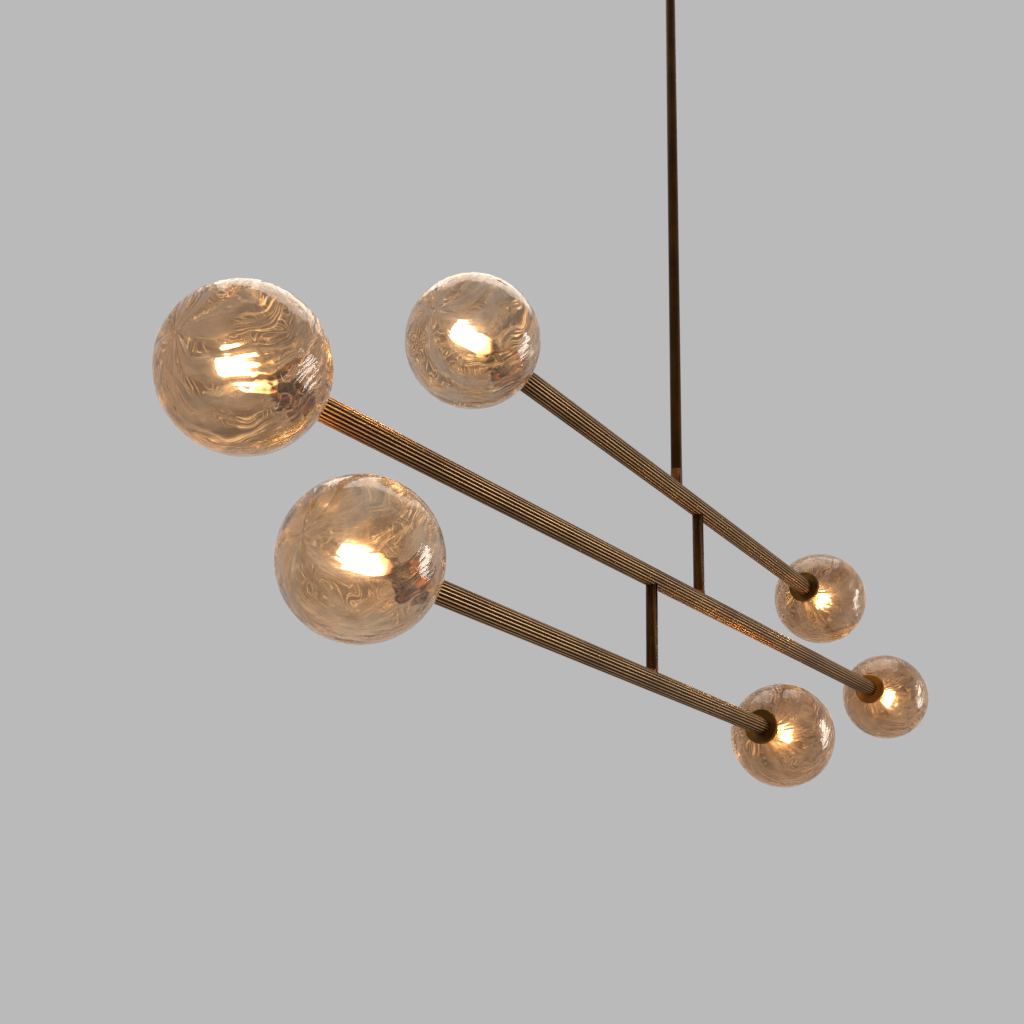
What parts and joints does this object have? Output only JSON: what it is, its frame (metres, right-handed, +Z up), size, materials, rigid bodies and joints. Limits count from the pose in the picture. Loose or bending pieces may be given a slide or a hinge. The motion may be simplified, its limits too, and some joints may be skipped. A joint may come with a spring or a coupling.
{
  "type": "linear chandelier",
  "caption": "Tiered linear chandelier: fluted brass arms that swivel on a ball-jointed stem, with a smoked blown-glass globe and a capsule bulb at each arm end.",
  "frame": {"origin": "centre of the ceiling face, between the two junction box screws", "axes": "+Z up into the ceiling; +X along the middle arm, towards its shorter end"},
  "size_m": [1.6756, 0.2152, 1.3542],
  "materials": {
    "fluted_brass": "antique brass, rubbed bright on the ridges of the flutes",
    "dark_bronze": "dark antique brass, satin",
    "copper_collar": "coppery brown, satin",
    "steel": "zinc plated",
    "blackened_steel": "blackened",
    "bare_brass": "machined, unlacquered",
    "smoked_glass": "clear smoked bronze, hand blown",
    "frosted_glass": "frosted white, lit",
    "ceramic": "unglazed white"
  },
  "bodies": {
    "canopy": {"crossbar": "steel", "crossbar_screws": "steel", "canopy": "dark_bronze", "canopy_cap_nuts": "dark_bronze"},
    "swivel": {"swivel_housing": "dark_bronze", "swivel_cap": "dark_bronze", "swivel_lock_nut": "dark_bronze"},
    "stem": {"swivel_ball": "dark_bronze", "stem": "dark_bronze", "stem_set_screws": "blackened_steel"},
    "upper_arm": {"upper_arm": "fluted_brass", "upper_arm_inserts": "bare_brass", "upper_post": "copper_collar", "upper_spacer": "dark_bronze", "upper_spacer_set_screws": "blackened_steel", "upper_left_fitter_disc": "fluted_brass", "upper_left_lamp_cup": "fluted_brass", "upper_left_lampholder": "ceramic", "upper_right_fitter_disc": "fluted_brass", "upper_right_lamp_cup": "fluted_brass", "upper_right_lampholder": "ceramic"},
    "middle_arm": {"middle_arm": "fluted_brass", "middle_arm_inserts": "bare_brass", "middle_post": "copper_collar", "lower_spacer": "dark_bronze", "lower_spacer_set_screws": "blackened_steel", "middle_left_fitter_disc": "fluted_brass", "middle_left_lamp_cup": "fluted_brass", "middle_left_lampholder": "ceramic", "middle_right_fitter_disc": "fluted_brass", "middle_right_lamp_cup": "fluted_brass", "middle_right_lampholder": "ceramic"},
    "lower_arm": {"lower_arm": "fluted_brass", "lower_arm_inserts": "bare_brass", "lower_post": "copper_collar", "lower_left_fitter_disc": "fluted_brass", "lower_left_lamp_cup": "fluted_brass", "lower_left_lampholder": "ceramic", "lower_right_fitter_disc": "fluted_brass", "lower_right_lamp_cup": "fluted_brass", "lower_right_lampholder": "ceramic"},
    "upper_left_globe": {"upper_left_globe": "smoked_glass", "upper_left_globe_collar": "fluted_brass"},
    "upper_right_globe": {"upper_right_globe": "smoked_glass", "upper_right_globe_collar": "fluted_brass"},
    "middle_left_globe": {"middle_left_globe": "smoked_glass", "middle_left_globe_collar": "fluted_brass"},
    "middle_right_globe": {"middle_right_globe": "smoked_glass", "middle_right_globe_collar": "fluted_brass"},
    "lower_left_globe": {"lower_left_globe": "smoked_glass", "lower_left_globe_collar": "fluted_brass"},
    "lower_right_globe": {"lower_right_globe": "smoked_glass", "lower_right_globe_collar": "fluted_brass"},
    "upper_left_bulb": {"upper_left_bulb": "frosted_glass"},
    "upper_right_bulb": {"upper_right_bulb": "frosted_glass"},
    "middle_left_bulb": {"middle_left_bulb": "frosted_glass"},
    "middle_right_bulb": {"middle_right_bulb": "frosted_glass"},
    "lower_left_bulb": {"lower_left_bulb": "frosted_glass"},
    "lower_right_bulb": {"lower_right_bulb": "frosted_glass"}
  },
  "joints": [
    {"name": "canopy_swivel", "type": "hinge", "parent": "canopy", "child": "swivel", "pos_m": [0, 0, -0.024], "axis": [0, 0, 1], "range_deg": [-165, 165]},
    {"name": "stem_tilt", "type": "hinge", "parent": "swivel", "child": "stem", "pos_m": [0, 0, -0.041], "axis": [1, 0, 0], "range_deg": [-20, 20]},
    {"name": "upper_arm_swivel", "type": "hinge", "parent": "stem", "child": "upper_arm", "pos_m": [0, 0, -1.0062], "axis": [0, 0, 1], "range_deg": [-165, 165]},
    {"name": "middle_arm_swivel", "type": "hinge", "parent": "upper_arm", "child": "middle_arm", "pos_m": [0.06736, 0.00436, -1.1412], "axis": [0, 0, 1], "range_deg": [-165, 165]},
    {"name": "lower_arm_swivel", "type": "hinge", "parent": "middle_arm", "child": "lower_arm", "pos_m": [-0.06164, 0.00436, -1.2762], "axis": [0, 0, 1], "range_deg": [-165, 165]},
    {"name": "upper_left_globe_off", "type": "slide", "parent": "upper_arm", "child": "upper_left_globe", "axis": [-0.9979, -0.0645, 0], "range_m": [0, 0.1]},
    {"name": "upper_right_globe_off", "type": "slide", "parent": "upper_arm", "child": "upper_right_globe", "axis": [0.9979, 0.0645, 0], "range_m": [0, 0.1]},
    {"name": "middle_left_globe_off", "type": "slide", "parent": "middle_arm", "child": "middle_left_globe", "axis": [-1, 0, 0], "range_m": [0, 0.1]},
    {"name": "middle_right_globe_off", "type": "slide", "parent": "middle_arm", "child": "middle_right_globe", "axis": [1, 0, 0], "range_m": [0, 0.1]},
    {"name": "lower_left_globe_off", "type": "slide", "parent": "lower_arm", "child": "lower_left_globe", "axis": [-0.9996, -0.0279, 0], "range_m": [0, 0.065]},
    {"name": "lower_right_globe_off", "type": "slide", "parent": "lower_arm", "child": "lower_right_globe", "axis": [0.9996, 0.0279, 0], "range_m": [0, 0.1]},
    {"name": "upper_left_bulb_out", "type": "slide", "parent": "upper_arm", "child": "upper_left_bulb", "axis": [-0.9979, -0.0645, 0], "range_m": [0, 0.01]},
    {"name": "upper_right_bulb_out", "type": "slide", "parent": "upper_arm", "child": "upper_right_bulb", "axis": [0.9979, 0.0645, 0], "range_m": [0, 0.01]},
    {"name": "middle_left_bulb_out", "type": "slide", "parent": "middle_arm", "child": "middle_left_bulb", "axis": [-1, 0, 0], "range_m": [0, 0.01]},
    {"name": "middle_right_bulb_out", "type": "slide", "parent": "middle_arm", "child": "middle_right_bulb", "axis": [1, 0, 0], "range_m": [0, 0.01]},
    {"name": "lower_left_bulb_out", "type": "slide", "parent": "lower_arm", "child": "lower_left_bulb", "axis": [-0.9996, -0.0279, 0], "range_m": [0, 0.01]},
    {"name": "lower_right_bulb_out", "type": "slide", "parent": "lower_arm", "child": "lower_right_bulb", "axis": [0.9996, 0.0279, 0], "range_m": [0, 0.01]}
  ]
}
